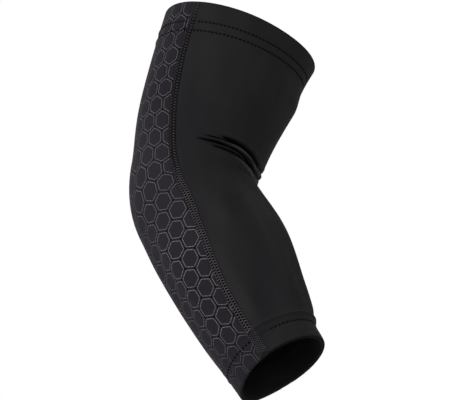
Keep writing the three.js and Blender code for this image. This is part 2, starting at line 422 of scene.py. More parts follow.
    def draw_in_depths(self, distance: Array, angle: Array) -> Array:
        """Depths by which the front draws in near the rims.

        Args:
            distance: Distances from the upper rim.
            angle: Angles round the sections.

        Returns:
            Depth below the surface at each point.
        """
        from_front = past_front(angle)
        upper_share = np.clip(distance / self.upper_blunt_length, 0, 1)
        lower_share = np.clip((self.length - distance) / self.draw_in_length, 0, 1)
        upper = self.upper_blunt * (1 + np.cos(math.pi * upper_share**2)) / 2
        lower = self.lower_draw_in * (1 - np.cos(FULL_TURN * lower_share)) / 2
        blunt = upper * np.exp(-((from_front / self.upper_blunt_spread) ** 4))
        return blunt + lower * bell(from_front, self.draw_in_spread)

    def tail_shares(self, distance: Array, angle: Array) -> Array:
        """Shares from 0 to 1 of the tail at the back of the lower mouth."""
        share = 1 - np.clip((self.length - distance) / self.tail_length, 0, 1)
        return share**2 * bell(past_back(angle), self.tail_spread)

    def points(self, distance: Array, angle: Array, depth: Array) -> Array:
        """Points at depths below the outer surface.

        Args:
            distance: Distances from the upper rim.
            angle: Angles round the sections.
            depth: Depths below the surface with no folds.

        Returns:
            The points in metres, from the middle of the elbow's hollow.
        """
        distance, angle, depth = np.broadcast_arrays(distance, angle, depth)
        distance = distance.astype(float)
        tail = self.tail_shares(distance, angle)
        below = (depth + self.draw_in_depths(distance, angle) - self.tail_flare * tail)[..., None]
        hung = distance + self.tail_drop * tail
        place = self.base_points(hung, angle) + self.inward(hung, angle) * below
        return (place + self.crease_line()) * MM

    def seam_angles(self, distance: Array) -> Array:
        """Angles of the near seam's middle line. The far seam mirrors it."""
        return np.radians(table_value(self.seam_line, "angle", distance / self.length))

    def angle_per_mm(self, distance: Array, angle: Array) -> Array:
        """Angle that a millimetre round the section takes up.

        Args:
            distance: Distances from the upper rim.
            angle: Angles round the sections.

        Returns:
            Radians for each millimetre.
        """
        step = math.radians(0.5)
        chord = self.base_points(distance, angle + step) - self.base_points(distance, angle - step)
        return 2 * step / np.linalg.norm(chord, axis=-1)


@dataclass(frozen=True)
class Cloth:
    """Thicknesses, widths and low relief of the cloth, in millimetres. Shades and shares have none."""

    panel_wall: float = 1.2
    hem_wall: float = 1.0
    hem_depth: float = 20
    gap: float = 0.3
    seam_width: float = 5.5
    seam_sink: float = 0.2
    seam_dip: float = 0.35
    seam_dip_reach: float = 1.3
    upper_needle_rows: tuple[float, ...] = (13.0, 18.8)
    lower_needle_rows: tuple[float, ...] = (12.8,)
    lower_row_start: float = 9.0
    lower_ridge: float = 18.4
    ridge_height: float = 1.1
    ridge_reach: float = 1.0
    groove_depth: float = 0.4
    groove_reach: float = 0.6
    hem_step: float = 0.25
    hem_step_reach: float = 2.5
    back_share: float = 0.15
    back_window: tuple[float, float] = (math.radians(35), math.radians(95))
    crease_depth: float = 3.7
    crease_reach: float = 1.25
    crease_floor: float = 0.25
    crease_widening: float = 0.5
    crease_lip: float = 1.2
    lip_at: float = 1.5
    lip_reach: float = 0.5
    creases: tuple[Fold, ...] = (
        Fold(0.96, 0.35, -0.1, 0.8, 1.05, 1.2),
        Fold(0.85, 0.44, 0.45, 1.04, 0.55, 0.5),
        Fold(0.64, 0.66, -0.1, 1.08, 1.1, 0.75),
        Fold(0.45, 0.62, 0.12, 0.9, 0.7, 0.6),
    )
    # Ridges beside the creases that get a painted highlight.
    painted_highlights: tuple[Fold, ...] = (
        Fold(0.8, 0.44, -0.05, 0.85, 0.8, 0.5),
        Fold(0.4, 0.9, -0.1, 0.55, 0.7, 0.9),
    )
    crease_above: float = 1.3
    crease_below: float = 0.8
    near_fade: tuple[float, float] = (math.radians(-26), math.radians(6))
    far_share: float = 0.22
    least_wall: float = 0.6
    skin: float = 0.1
    ripple: float = 0.55
    ripple_waves: tuple[Wave, ...] = (Wave(1.0, 8, 2.2, 1.45), Wave(0.6, 11, -3.1, 1.3))
    ripple_starts: tuple[float, float] = (0.0, 0.25)
    ripple_ends: tuple[float, float] = (0.7, 0.92)
    # Painted highlight on the ripples' crests, and painted shade in their troughs.
    ripple_highlight: float = 0.1
    ripple_shade: float = 0.16
    crest_window: tuple[float, float] = (math.radians(16), math.radians(30))
    # Painted shade in the creases, under the rows of stitches, at the rims and along the front of the lower
    # tube.
    crease_darkens: tuple[float, float] = (0.1, 0.27)
    row_shade: float = 0.2
    rim_shade: float = 0.8
    rim_shade_ends: tuple[float, float] = (0.2, 1.3)
    inner_shade: float = 0.22
    inner_window: tuple[float, float] = (math.radians(22), math.radians(55))
    inner_below_bend: tuple[float, float] = (10, 45)
    inner_above_rim: tuple[float, float] = (-35, -20)
    slit: float = 0.03

    def needle_rows(self, form: SleeveForm) -> list[float]:
        """Distances of the rows of stitches from the upper rim."""
        return [*self.upper_needle_rows, *(form.length - row for row in self.lower_needle_rows)]

    def rim_turn(self, form: SleeveForm, distance: Array, radius: float) -> Array:
        """Depths by which the cloth turns in towards a rim, on a turn of a given radius."""
        into_turn = np.clip(radius - form.from_rim(distance), 0, radius)
        return radius - np.sqrt(radius**2 - into_turn**2)

    def crease_relief(self, form: SleeveForm, distance: Array, angle: Array) -> Array:
        """Depths of the sharp creases in the folds, with the cloth heaped up beside them.

        Args:
            form: The sleeve's form.
            distance: Distances from the upper rim.
            angle: Angles round the sections.

        Returns:
            Depth below the surface at each point.
        """
        total = np.zeros_like(distance)
        from_front = np.abs(past_front(angle))
        near = 1 - smooth_step(past_front(angle), *self.near_fade)
        widening = 1 + self.crease_widening * bell(from_front, form.fold_dip_angle)
        side = smooth_step(from_front, form.fold_dip_angle / 4, form.fold_dip_angle * 0.8)
        for fold, line, strength in form.fold_lines(angle, self.creases):
            beyond = (distance - line) / (self.crease_reach * fold.width * widening)
            across = np.where(beyond < 0, -beyond / self.crease_above, beyond / self.crease_below)
            groove = 1 - smooth_step(across, self.crease_floor, 1.0)
            lip = side * bell(across - self.lip_at, self.lip_reach)
            total += fold.depth * strength * (self.crease_depth * groove - self.crease_lip * lip)
        return total * (self.far_share + (1 - self.far_share) * near)

    def crease_shade(self, form: SleeveForm, distance: Array, angle: Array) -> Array:
        """Painted shade in the creases, ripple troughs, rims, lower front and under the stitch rows.

        Args:
            form: The sleeve's form.
            distance: Distances from the upper rim.
            angle: Angles round the sections.

        Returns:
            The shade from 0 to 1 at each point.
        """
        depth_share = self.crease_relief(form, distance, angle) / self.crease_depth
        trough = np.clip(self.ripple_relief(form, distance, angle) / self.ripple, 0, 1)
        # The cloth faces away from the light along the front of the lower tube, and is darker there.
        inner = 1 - smooth_step(np.abs(past_front(angle)), *self.inner_window)
        inner *= smooth_step(distance - form.bend_end, *self.inner_below_bend)
        inner *= 1 - smooth_step(distance - form.length, *self.inner_above_rim)
        # Painted shade: a thin dark line along each rim.
        at_rim = 1 - smooth_step(form.from_rim(distance), *self.rim_shade_ends)
        # Painted shade in the creases, the ripples' troughs, the front of the lower tube and under the rows
        # of stitches.
        shades = [
            smooth_step(depth_share, *self.crease_darkens),
            self.ripple_shade * trough,
            self.inner_shade * inner,
            self.rim_shade * at_rim,
        ]
        for row in self.needle_rows(form):
            shades.append(self.row_shade * bell(distance - row, self.groove_reach))
        return np.maximum.reduce(shades)

    def highlight_share(self, form: SleeveForm, distance: Array, angle: Array) -> Array:
        """Painted highlight: how much paler the ridges beside the creases and the ripples' crests are
        painted.

        Args:
            form: The sleeve's form.
            distance: Distances from the upper rim.
            angle: Angles round the sections.

        Returns:
            The share from 0 to 1 at each point.
        """
        crest = np.clip(-self.ripple_relief(form, distance, angle) / self.ripple, 0, 1)
        off_front = smooth_step(np.abs(past_front(angle)), *self.crest_window)
        total = self.ripple_highlight * crest * off_front
        for fold, line, strength in form.fold_lines(angle, self.painted_highlights):
            ridge = bell(distance - line, self.crease_reach * fold.width)
            total = np.maximum(total, fold.depth * strength * ridge)
        return total

    def ripple_relief(self, form: SleeveForm, distance: Array, angle: Array) -> Array:
        """Depths of the soft lengthwise ripples that the lower tube has.

        Args:
            form: The sleeve's form.
            distance: Distances from the upper rim.
            angle: Angles round the sections.

        Returns:
            Depth below the surface at each point.
        """
        share = (distance - form.bend_end) / form.lower_length
        fade = smooth_step(share, *self.ripple_starts) * (1 - smooth_step(share, *self.ripple_ends))
        total = np.zeros_like(share)
        for wave in self.ripple_waves:
            total = total + wave.height * np.cos(wave.count * angle + wave.lean * share + wave.phase)
        return self.ripple * fade * total

    def outer_relief(self, form: SleeveForm, distance: Array, angle: Array) -> Array:
        """Depths of all the relief that the panels and seams share.

        Args:
            form: The sleeve's form.
            distance: Distances from the upper rim.
            angle: Angles round the sections.

        Returns:
            Depth below the surface at each point.
        """
        off_back = smooth_step(np.abs(past_back(angle)), *self.back_window)
        shown = self.back_share + (1 - self.back_share) * off_back
        step_start = self.hem_depth - self.hem_step_reach
        past_hem = smooth_step(form.from_rim(distance), step_start, self.hem_depth)
        depth = self.rim_turn(form, distance, self.panel_wall)
        depth -= shown * self.hem_step * (1 - past_hem)
        for row in self.needle_rows(form):
            depth += shown * self.groove_depth * bell(distance - row, self.groove_reach)
        from_ridge = distance - (form.length - self.lower_ridge)
        depth -= shown * self.ridge_height * bell(from_ridge, self.ridge_reach)
        depth += self.crease_relief(form, distance, angle)
        return depth + self.ripple_relief(form, distance, angle)


@dataclass(frozen=True)
class Grid:
    """Steps of the fine surfaces, in millimetres."""

    plain: float = 2.2
    column: float = 1.9
    fold: float = 0.4
    groove: float = 0.4
    rim: float = 0.22
    edge: float = 0.6
    edge_zone: float = 3
    row_samples: int = 6000
    share_samples: int = 4000

    def rows(self, form: SleeveForm, cloth: Cloth) -> Array:
        """Distances of the rows, closer over folds, grooves and rims.

        Args:
            form: The sleeve's form.
            cloth: The cloth's sizes.

        Returns:
            The distances, in order.
        """
        place = np.linspace(0, form.length, self.row_samples)
        step = np.full_like(place, self.plain)
        fold_top = form.upper_length - form.fold_rise - 2 * form.fold_half_width
        step[(place > fold_top) & (place < form.upper_length + 2)] = self.fold
        for row in (*cloth.needle_rows(form), form.length - cloth.lower_ridge):
            step[np.abs(place - row) < 2 * cloth.groove_reach] = self.groove
        step[form.from_rim(place) < cloth.panel_wall] = self.rim
        return spread_by_step(place, step)

    def shares(self, width: float) -> Array:
        """Shares of a panel's width at which its columns lie, closer near its edges.

        Args:
            width: The panel's width.

        Returns:
            The shares from 0 to 1.
        """
        place = np.linspace(0, width, self.share_samples)
        near_edge = np.minimum(place, width - place) < self.edge_zone
        return spread_by_step(place, np.where(near_edge, self.edge, self.column)) / width


def spread_by_step(place: Array, step: Array) -> Array:
    """Spreads places along a line by a step that changes along it.

    Args:
        place: Fine, evenly spaced places.
        step: Step wanted at each of them.

    Returns:
        The chosen places, from the first to the last.
    """
    count = np.concatenate([[0], np.cumsum(np.diff(place) / step[1:])])
    return np.interp(np.linspace(0, count[-1], math.ceil(count[-1]) + 1), count, place)


def smooth_mesh(name: str, points: Array, faces: Array, loop_uv: Array | None = None) -> bpy.types.Object:
    """Makes a smooth object out of points and faces.

    Args:
        name: The piece's name.
        points: Its points, in metres.
        faces: Its faces, each as four point numbers.
        loop_uv: Flat cloth coordinates of each face's corners, in centimetres.

    Returns:
        The object, already in the scene.
    """
    mesh = bpy.data.meshes.new(name)
    mesh.from_pydata(points.tolist(), [], faces.tolist())
    if loop_uv is not None:
        layer = mesh.uv_layers.new(name="cloth")
        layer.data.foreach_set("uv", loop_uv.astype(np.float32).ravel())
    a, b, c, d = (points[faces[:, corner]] for corner in range(4))
    volume = (a * (np.cross(b, c) + np.cross(c, d))).sum()
    if volume < 0:
        mesh.flip_normals()
    mesh.shade_smooth()
    mesh.set_sharp_from_angle(angle=math.radians(50))
    piece = bpy.data.objects.new(name, mesh)
    bpy.context.scene.collection.objects.link(piece)
    return piece


def wall_object(
    name: str,
    outer: Array,
    inner: Array,
    flat: Array,
    is_ring: bool = False,
    marks: dict[str, Array] | None = None,
) -> bpy.types.Object:
    """Closed wall of cloth between two grids of points. Its inner face takes the second material.

    Args:
        name: The piece's name.
        outer: Outer points by row and column.
        inner: Inner points, as many.
        flat: Flat cloth coordinates by row and column, one column more where it is a ring.
        is_ring: Whether the last column joins the first.
        marks: Shares at each outer point that the materials read, by name.

    Returns:
        The object.
    """
    rows, columns = outer.shape[:2]
    number = np.arange(rows * columns).reshape(rows, columns)
    if is_ring:
        number = np.concatenate([number, number[:, :1]], 1)
    corner = {
        key: np.s_[row : row - 1 or None, column : column - 1 or None]
        for key, row, column in (("a", 0, 0), ("b", 1, 0), ("c", 1, 1), ("d", 0, 1))
    }
    behind = number + rows * columns
    faces = []
    coordinates = []

    def add(sheets: tuple[Array, ...], flats: tuple[Array, ...]) -> None:
        """Adds quads by their four corners."""
        faces.append(np.stack(sheets, -1).reshape(-1, 4))
        coordinates.append(np.stack(flats, -2).reshape(-1, 4, 2))

    add(tuple(number[corner[k]] for k in "abcd"), tuple(flat[corner[k]] for k in "abcd"))
    add(tuple(behind[corner[k]] for k in "dcba"), tuple(flat[corner[k]] for k in "dcba"))
    for edge, flip in ((0, False), (-1, True)):
        near, far = (behind, number) if flip else (number, behind)
        strip = (near[edge, :-1], near[edge, 1:], far[edge, 1:], far[edge, :-1])
        add(strip, tuple(flat[edge, s] for s in (np.s_[:-1], np.s_[1:], np.s_[1:], np.s_[:-1])))
        if is_ring:
            continue
        near, far = (number, behind) if flip else (behind, number)
        strip = (near[:-1, edge], near[1:, edge], far[1:, edge], far[:-1, edge])
        add(strip, tuple(flat[s, edge] for s in (np.s_[:-1], np.s_[1:], np.s_[1:], np.s_[:-1])))
    points = np.concatenate([outer.reshape(-1, 3), inner.reshape(-1, 3)])
    piece = smooth_mesh(name, points, np.concatenate(faces), np.concatenate(coordinates))
    is_inner = np.zeros(sum(map(len, faces)), dtype=np.int32)
    is_inner[len(faces[0]) : 2 * len(faces[0])] = 1
    piece.data.polygons.foreach_set("material_index", is_inner)
    for mark, share in (marks or {}).items():
        both = np.concatenate([share.ravel(), np.zeros(inner.size // 3)]).astype(np.float32)
        piece.data.attributes.new(mark, "FLOAT", "POINT").data.foreach_set("value", both)
    return piece


def thread_object(
    name: str, paths: Array, up: Array, width: float, height: float, shade: Array | None = None
) -> bpy.types.Object:
    """Many short closed threads along paths of equal point counts.

    Args:
        name: The piece's name.
        paths: Points by thread and place, in metres.
        up: Directions away from the cloth at those points.
        width: The threads' width, in millimetres.
        height: Their height, in millimetres.
        shade: How much darker each thread is at its points, from 0 to 1.

    Returns:
        The object.
    """
    sides = 6
    end_taper = 0.55
    along = np.gradient(paths, axis=1)
    across = np.cross(along, up)
    across /= np.linalg.norm(across, axis=-1, keepdims=True)
    top = np.cross(across, along)
    top /= np.linalg.norm(top, axis=-1, keepdims=True)
    count, places = paths.shape[:2]
    taper = np.ones(places)
    taper[[0, -1]] = end_taper
    turn = np.linspace(0, FULL_TURN, sides, endpoint=False)
    sideways = across[:, :, None] * (np.cos(turn) * width)[:, None]
    upward = top[:, :, None] * (np.sin(turn) * height)[:, None]
    points = paths[:, :, None] + (sideways + upward) * (taper * MM / 2)[:, None, None]
    number = np.arange(count * places * sides).reshape(count, places, sides)
    following = np.roll(number, -1, 2)
    quads = np.stack(
        [number[:, :-1], following[:, :-1], following[:, 1:], number[:, 1:]], -1
    ).reshape(-1, 4)
    ends = []
    for place, order in ((0, (3, 2, 1, 0)), (-1, (0, 1, 2, 3))):
        for start in (0, 2):
            ends.append(number[:, place][:, [(start + k + (start > 0)) % sides for k in order]])
    piece = smooth_mesh(name, points.reshape(-1, 3), np.concatenate([quads, *ends]))
    if shade is not None:
        values = np.repeat(np.broadcast_to(shade, (count, places)).ravel(), sides).astype(np.float32)
        piece.data.attributes.new("shade", "FLOAT", "POINT").data.foreach_set("value", values)
    return piece


def srgb(hex_colour: str) -> tuple[float, float, float, float]:
    """Linear colour of an sRGB hex value.

    Args:
        hex_colour: Six hex digits.

    Returns:
        Linear red, green and blue, and full alpha.
    """
    parts = [int(hex_colour[i : i + 2], 16) / 255 for i in (0, 2, 4)]
    linear = [p / 12.92 if p <= 0.04045 else ((p + 0.055) / 1.055) ** 2.4 for p in parts]
    return (*linear, 1.0)


def add_node(
    tree: bpy.types.NodeTree, kind: str, inputs: dict[Any, Any] | None = None, **settings: Any
) -> bpy.types.Node:
    """Adds a node with its settings and links.

    Args:
        tree: Node tree that takes the node.
        kind: The node's type.
        inputs: Values or sockets by input name or number.
        **settings: Properties of the node.

    Returns:
        The new node.
    """
    node = tree.nodes.new(kind)
    for name, value in settings.items():
        setattr(node, name, value)
    for name, value in (inputs or {}).items():
        if isinstance(value, bpy.types.NodeSocket):
            tree.links.new(value, node.inputs[name])
        else:
            node.inputs[name].default_value = value
    return node


@dataclass(frozen=True)
class KnitFinish:
    """Look of a plain knit: colours, and the size of its loops in millimetres."""

    colour: str
    shade: str
    # Painted shade: the near-black colour mixed in where the cloth is marked as shaded.
    crease: str = "010102"
    # Painted highlight: the paler colour mixed in on the ridges and the ripples' crests.
    painted_highlights: str = "464648"
    roughness: float = 0.88
    specular: float = 0.08
    # The real loops are about 0.5 mm wide. They are drawn coarser, to show at the photo's size.
    loop_pitch: float = 1.1
    loop_depth: float = 0.05
    # Patches of uneven yarn, about 2 cm wide and 5 cm long.
    patch_scale: float = 38.0
    patch_stretch: tuple[float, float, float] = (1.5, 1.5, 0.5)
    patch_edges: tuple[float, float] = (0.35, 0.65)


@dataclass(frozen=True)
class HoneycombFinish:
    """Look of the honeycomb knit: colours, and sizes in millimetres."""

    cell: str = "28232c"
    cell_shade: str = "1a171c"
    line: str = "aba4b1"
    groove: str = "1d1a20"
    dot: str = "020203"
    # Darker colour mixed in towards both mouths, away from the elbow.
    darker_off_elbow: str = "08070a"
    pitch: float = 13.8
    line_from_edge: float = 1.1
    line_width: float = 0.36
    line_blur: float = 0.3
    dot_radius: float = 1.25
    dot_edges: tuple[float, float] = (0.8, 1.25)
    # The real twill is about 0.7 mm. It is drawn coarser, to show at the photo's size.
    twill_pitch: float = 1.3
    twill_height: float = 0.22
    dash: float = 0.85
    relief: float = 0.16
    roughness: float = 0.85
    specular: float = 0.14


@dataclass(frozen=True)
class ThreadFinish:
    """Look of a sewing thread."""

    colour: str
    shade: str
    deep: str = "040404"
    deep_share: float = 0.4
    roughness: float = 0.8
    specular: float = 0.05
    patch_scale: float = 260.0


class Slot(Enum):
    """The material slots, by name."""

    SMOOTH_KNIT = "smooth_knit"
    HONEYCOMB_KNIT = "honeycomb_knit"
    SEAM_THREAD = "seam_thread"
    HEM_KNIT = "hem_knit"


def new_surface(
    name: str, **values: Any
) -> tuple[bpy.types.NodeTree, bpy.types.Node, bpy.types.Material]:
    """Makes a material with one principled shader.

    Args:
        name: The material's name.
        **values: Constants of the shader by input name, with underscores for spaces.

    Returns:
        The node tree, the shader and the material.
    """
    material = bpy.data.materials.new(name)
    material.use_nodes = True
    tree = material.node_tree
    tree.nodes.clear()
    shader = add_node(tree, "ShaderNodeBsdfPrincipled")
    for key, value in values.items():
        shader.inputs[key.replace("_", " ")].default_value = value
    add_node(tree, "ShaderNodeOutputMaterial", {"Surface": shader.outputs["BSDF"]})
    return tree, shader, material


def knit_loops(tree: bpy.types.NodeTree, pitch: float) -> bpy.types.NodeSocket:
    """Height of knit loops, as leaning rows of ovals over the flat cloth.

    Args:
        tree: Node tree that takes the pattern.
        pitch: Width of a loop, in millimetres.

    Returns:
        Socket of a height between -1 and 1.
    """
    loop_lean = 1.4
    flat = add_node(tree, "ShaderNodeUVMap", uv_map="cloth").outputs["UV"]
    turns = FULL_TURN * MM_PER_CM / pitch
    scaled = add_node(tree, "ShaderNodeVectorMath", {0: flat, 1: (turns, turns, 0)}, operation="MULTIPLY")
    parts = add_node(tree, "ShaderNodeSeparateXYZ", {0: scaled.outputs[0]}).outputs
    wale = add_node(tree, "ShaderNodeMath", {0: parts["X"]}, operation="SINE").outputs[0]
    lean = add_node(tree, "ShaderNodeMath", {0: wale, 1: loop_lean, 2: parts["Y"]}, operation="MULTIPLY_ADD")
    course = add_node(tree, "ShaderNodeMath", {0: lean.outputs[0]}, operation="SINE").outputs[0]
    return add_node(tree, "ShaderNodeMath", {0: wale, 1: course}, operation="MULTIPLY").outputs[0]


def knit_material(name: str, finish: KnitFinish) -> bpy.types.Material:
    """Nylon and elastane knit: dark, matt, with a faint lift of colour where the yarn is uneven.

    Args:
        name: The material's name.
        finish: Its look.

    Returns:
        The material.
    """
    tree, shader, material = new_surface(
        name, Roughness=finish.roughness, Specular_IOR_Level=finish.specular
    )
    # Uneven yarn: soft patches that run along the sleeve keep the dark cloth from looking flat.
    place = add_node(tree, "ShaderNodeTexCoord").outputs["Object"]
    factors = {0: place, 1: finish.patch_stretch}
    long_place = add_node(tree, "ShaderNodeVectorMath", factors, operation="MULTIPLY").outputs[0]
    grain = {"Vector": long_place, "Scale": finish.patch_scale, "Detail": 2.5}
    noise = add_node(tree, "ShaderNodeTexNoise", grain).outputs["Fac"]
    low, high = finish.patch_edges
    patches = add_node(tree, "ShaderNodeMapRange", {0: noise, 1: low, 2: high}).outputs[0]
    colours = {"Factor": patches, 6: srgb(finish.colour), 7: srgb(finish.shade)}
    colour = add_node(tree, "ShaderNodeMix", colours, data_type="RGBA").outputs[2]
    # Painted highlight where the cloth is marked as lit, and painted shade, near black, where it is marked
    # as shaded.
    for mark, mixed_in in (("highlight_share", finish.painted_highlights), ("shade", finish.crease)):
        share = add_node(tree, "ShaderNodeAttribute", attribute_name=mark).outputs["Fac"]
        colours = {"Factor": share, 6: colour, 7: srgb(mixed_in)}
        colour = add_node(tree, "ShaderNodeMix", colours, data_type="RGBA").outputs[2]
    tree.links.new(colour, shader.inputs["Base Color"])
    # Matt nylon loops: a fine grain in place of a smooth sheen.
    loops = knit_loops(tree, finish.loop_pitch)
    relief = {"Height": loops, "Distance": finish.loop_depth * MM, "Strength": 1.0}
    tree.links.new(add_node(tree, "ShaderNodeBump", relief).outputs[0], shader.inputs["Normal"])
    return material


def cell_distances(
    tree: bpy.types.NodeTree, pitch: float
) -> tuple[bpy.types.NodeSocket, bpy.types.NodeSocket]:
    """Distances from the middle of the hexagon that a point lies in, and from the nearest corner.

    Args:
        tree: Node tree that takes the pattern.
        pitch: Distance between the cells' middles, in millimetres.

    Returns:
        Sockets of the two distances, in pitches. The first is 0.5 all along the hexagon's edge.
    """
    # Hexagons are the cells of two shifted grids of upright rectangles, each folded on its middle.
    row_height = math.sqrt(0.75)
    half = (0.5, row_height, 1.0)
    low = tuple(-part for part in half)
    slant = (0.5, row_height, 0.0)
    hexagon_corners = ((0.5, math.sqrt(1 / 12), 0.0), (0.0, math.sqrt(1 / 3), 0.0))
    vector = "ShaderNodeVectorMath"
    flat = add_node(tree, "ShaderNodeUVMap", uv_map="cloth").outputs["UV"]
    cells = add_node(tree, vector, {0: flat, 1: (MM_PER_CM / pitch,) * 3}, operation="MULTIPLY").outputs[0]
    edges = []
    corners = []
    for shift in ((0.0, 0.0, 0.0), slant):
        moved = add_node(tree, vector, {0: cells, 1: shift}, operation="ADD").outputs[0]
        inside = add_node(tree, vector, {0: moved, 1: half, 2: low}, operation="WRAP").outputs[0]
        size = add_node(tree, vector, {0: inside}, operation="ABSOLUTE").outputs[0]
        leaning = add_node(tree, vector, {0: size, 1: slant}, operation="DOT_PRODUCT").outputs["Value"]
        straight = add_node(tree, "ShaderNodeSeparateXYZ", {0: size}).outputs["X"]
        edge = add_node(tree, "ShaderNodeMath", {0: straight, 1: leaning}, operation="MAXIMUM")
        edges.append(edge.outputs[0])
        for corner in hexagon_corners:
            apart = add_node(tree, vector, {0: size, 1: corner}, operation="DISTANCE")
            corners.append(apart.outputs["Value"])
    nearest = []
    for sockets in (edges, corners):
        least = sockets[0]
        for socket in sockets[1:]:
            least = add_node(tree, "ShaderNodeMath", {0: least, 1: socket}, operation="MINIMUM").outputs[0]
        nearest.append(least)
    return nearest[0], nearest[1]


def honeycomb_material(name: str, finish: HoneycombFinish) -> bpy.types.Material:
    """Honeycomb knit: each cell has a thin pale outline, with a dark sunken gap to its neighbours.

    Args:
        name: The material's name.
        finish: Its look.

    Returns:
        The material.
    """
    tree, shader, material = new_surface(
        name, Roughness=finish.roughness, Specular_IOR_Level=finish.specular
    )
    distance, corner = cell_distances(tree, finish.pitch)
    line_at = 0.5 - finish.line_from_edge / finish.pitch
    half_line = finish.line_width / 2 / finish.pitch
    inner, outer = half_line * (1 - finish.line_blur), half_line * (1 + finish.line_blur)
    from_line = add_node(tree, "ShaderNodeMath", {0: distance, 1: line_at}, operation="SUBTRACT").outputs[0]
    off_line = add_node(tree, "ShaderNodeMath", {0: from_line}, operation="ABSOLUTE").outputs[0]
    line, gap = (
        add_node(tree, "ShaderNodeMapRange", ends, interpolation_type="SMOOTHSTEP").outputs[0]
        for ends in (
            {0: off_line, 1: inner, 2: outer, 3: 1.0, 4: 0.0},
            {0: from_line, 1: 0.0, 2: half_line, 3: 0.0, 4: 1.0},
        )
    )
    # Twill: small leaning loops mottle the cells and break the printed line into dashes.
    loops = knit_loops(tree, finish.twill_pitch)
    mottle, dashed = (
        add_node(tree, "ShaderNodeMapRange", {0: loops, 1: -1.0, 2: 1.0, 3: least, 4: 1.0}).outputs[0]
        for least in (0.0, 1.0 - finish.dash)
    )
    strength = add_node(tree, "ShaderNodeAttribute", attribute_name="print").outputs["Fac"]
    for share in (dashed, strength):
        line = add_node(tree, "ShaderNodeMath", {0: line, 1: share}, operation="MULTIPLY").outputs[0]
    darker_off_elbow = add_node(tree, "ShaderNodeAttribute", attribute_name="shade").outputs["Fac"]
    near, far = (finish.dot_radius / finish.pitch * share for share in finish.dot_edges)
    round_corner = {0: corner, 1: near, 2: far, 3: 1.0, 4: 0.0}
    dot = add_node(tree, "ShaderNodeMapRange", round_corner).outputs[0]
    dot = add_node(tree, "ShaderNodeMath", {0: dot, 1: strength}, operation="MULTIPLY").outputs[0]
    # Print on the knit: sunken gaps, pale outlines, cloth darker towards both mouths, and dots at the
    # corners.
    colour = srgb(finish.cell_shade)
    for share, mixed_in in (
        (mottle, finish.cell),
        (gap, finish.groove),
        (line, finish.line),
        (darker_off_elbow, finish.darker_off_elbow),
        (dot, finish.dot),
    ):
        colours = {"Factor": share, 6: colour, 7: srgb(mixed_in)}
        colour = add_node(tree, "ShaderNodeMix", colours, data_type="RGBA").outputs[2]
    tree.links.new(colour, shader.inputs["Base Color"])
    height = line
    for form, share in ((gap, -1.0), (loops, finish.twill_height)):
        terms = {0: form, 1: share, 2: height}
        height = add_node(tree, "ShaderNodeMath", terms, operation="MULTIPLY_ADD").outputs[0]
    relief = {"Height": height, "Distance": finish.relief * MM, "Strength": 1.0}
    tree.links.new(add_node(tree, "ShaderNodeBump", relief).outputs[0], shader.inputs["Normal"])
    return material


def thread_material(name: str, finish: ThreadFinish) -> bpy.types.Material:
    """Spun polyester thread: matt, and a little uneven in colour from stitch to stitch.

    Args:
        name: The material's name.
        finish: Its look.

    Returns:
        The material.
    """
    tree, shader, material = new_surface(
        name, Roughness=finish.roughness, Specular_IOR_Level=finish.specular
    )
    # Spun yarn: each stitch takes a slightly different grey.
    place = add_node(tree, "ShaderNodeTexCoord").outputs["Object"]
    grain = {"Vector": place, "Scale": finish.patch_scale, "Detail": 2.0}
    noise = add_node(tree, "ShaderNodeTexNoise", grain).outputs["Fac"]
    colours = {"Factor": noise, 6: srgb(finish.colour), 7: srgb(finish.shade)}
    colour = add_node(tree, "ShaderNodeMix", colours, data_type="RGBA").outputs[2]
    # Stitches that are pulled into the cloth lie in its shadow.
    mark = add_node(tree, "ShaderNodeAttribute", attribute_name="shade").outputs["Fac"]
    sunk = add_node(tree, "ShaderNodeMath", {0: mark, 1: finish.deep_share}, operation="MULTIPLY").outputs[0]
    colours = {"Factor": sunk, 6: colour, 7: srgb(finish.deep)}
    colour = add_node(tree, "ShaderNodeMix", colours, data_type="RGBA").outputs[2]
    tree.links.new(colour, shader.inputs["Base Color"])
    return material


@dataclass
class Piece:
    """What every piece of the sleeve shares: the form, the cloth and the grid."""

    form: SleeveForm
    cloth: Cloth
    grid: Grid

    def seam_edge(self, distance: Array, extra: float = 0.0) -> tuple[Array, Array]:
        """Angles at which the near seam starts and ends.

        Args:
            distance: Distances from the upper rim.
            extra: Width added on both sides, in millimetres.

        Returns:
            The angle towards the back and the one towards the front.
        """
        middle = self.form.seam_angles(distance)
        half = (self.cloth.seam_width / 2 + extra) * self.form.angle_per_mm(distance, middle)
        return middle - half, middle + half

    def length_along(self, distance: Array) -> Array:
        """Length of cloth along the side of the sleeve, less how far it is pulled out over the elbow.

        Args:
            distance: Distances from the upper rim.

        Returns:
            Millimetres from the middle of the first honeycomb row below the elbow.
        """
        guide_angle = math.radians(68)
        elbow_stretch = 0.93
        zero_at = 140.1
        place = np.linspace(0, self.form.length, 1200)
        line = self.form.base_points(place, np.full_like(place, guide_angle))
        chord = np.linalg.norm(np.diff(line, axis=0), axis=1)
        middle = (place[1:] + place[:-1]) / 2
        in_bend = (middle > self.form.upper_length) & (middle < self.form.bend_end)
        total = np.concatenate([[0], np.cumsum(np.where(in_bend, chord * elbow_stretch, chord))])
        return np.interp(distance, place, total) - np.interp(zero_at, place, total)

    def flat_cloth(self, distance: Array, angle: Array) -> Array:
        """Flat coordinates of a grid of cloth, from its middle column and in centimetres.

        Args:
            distance: Distance of each grid point from the upper rim.
            angle: Angle of each grid point.

        Returns:
            The two coordinates of each grid point.
        """
        fullest = 62.0
        squeeze = 0.6
        line = self.form.base_points(distance, angle)
        chord = np.linalg.norm(np.diff(line, axis=1), axis=-1)
        run = np.concatenate([np.zeros((len(line), 1)), np.cumsum(chord, axis=1)], 1)
        half = run[:, -1:] / 2
        across = (run - half) / (half / fullest) ** squeeze
        along = self.length_along(distance)
        return np.stack([across, along], -1) / MM_PER_CM


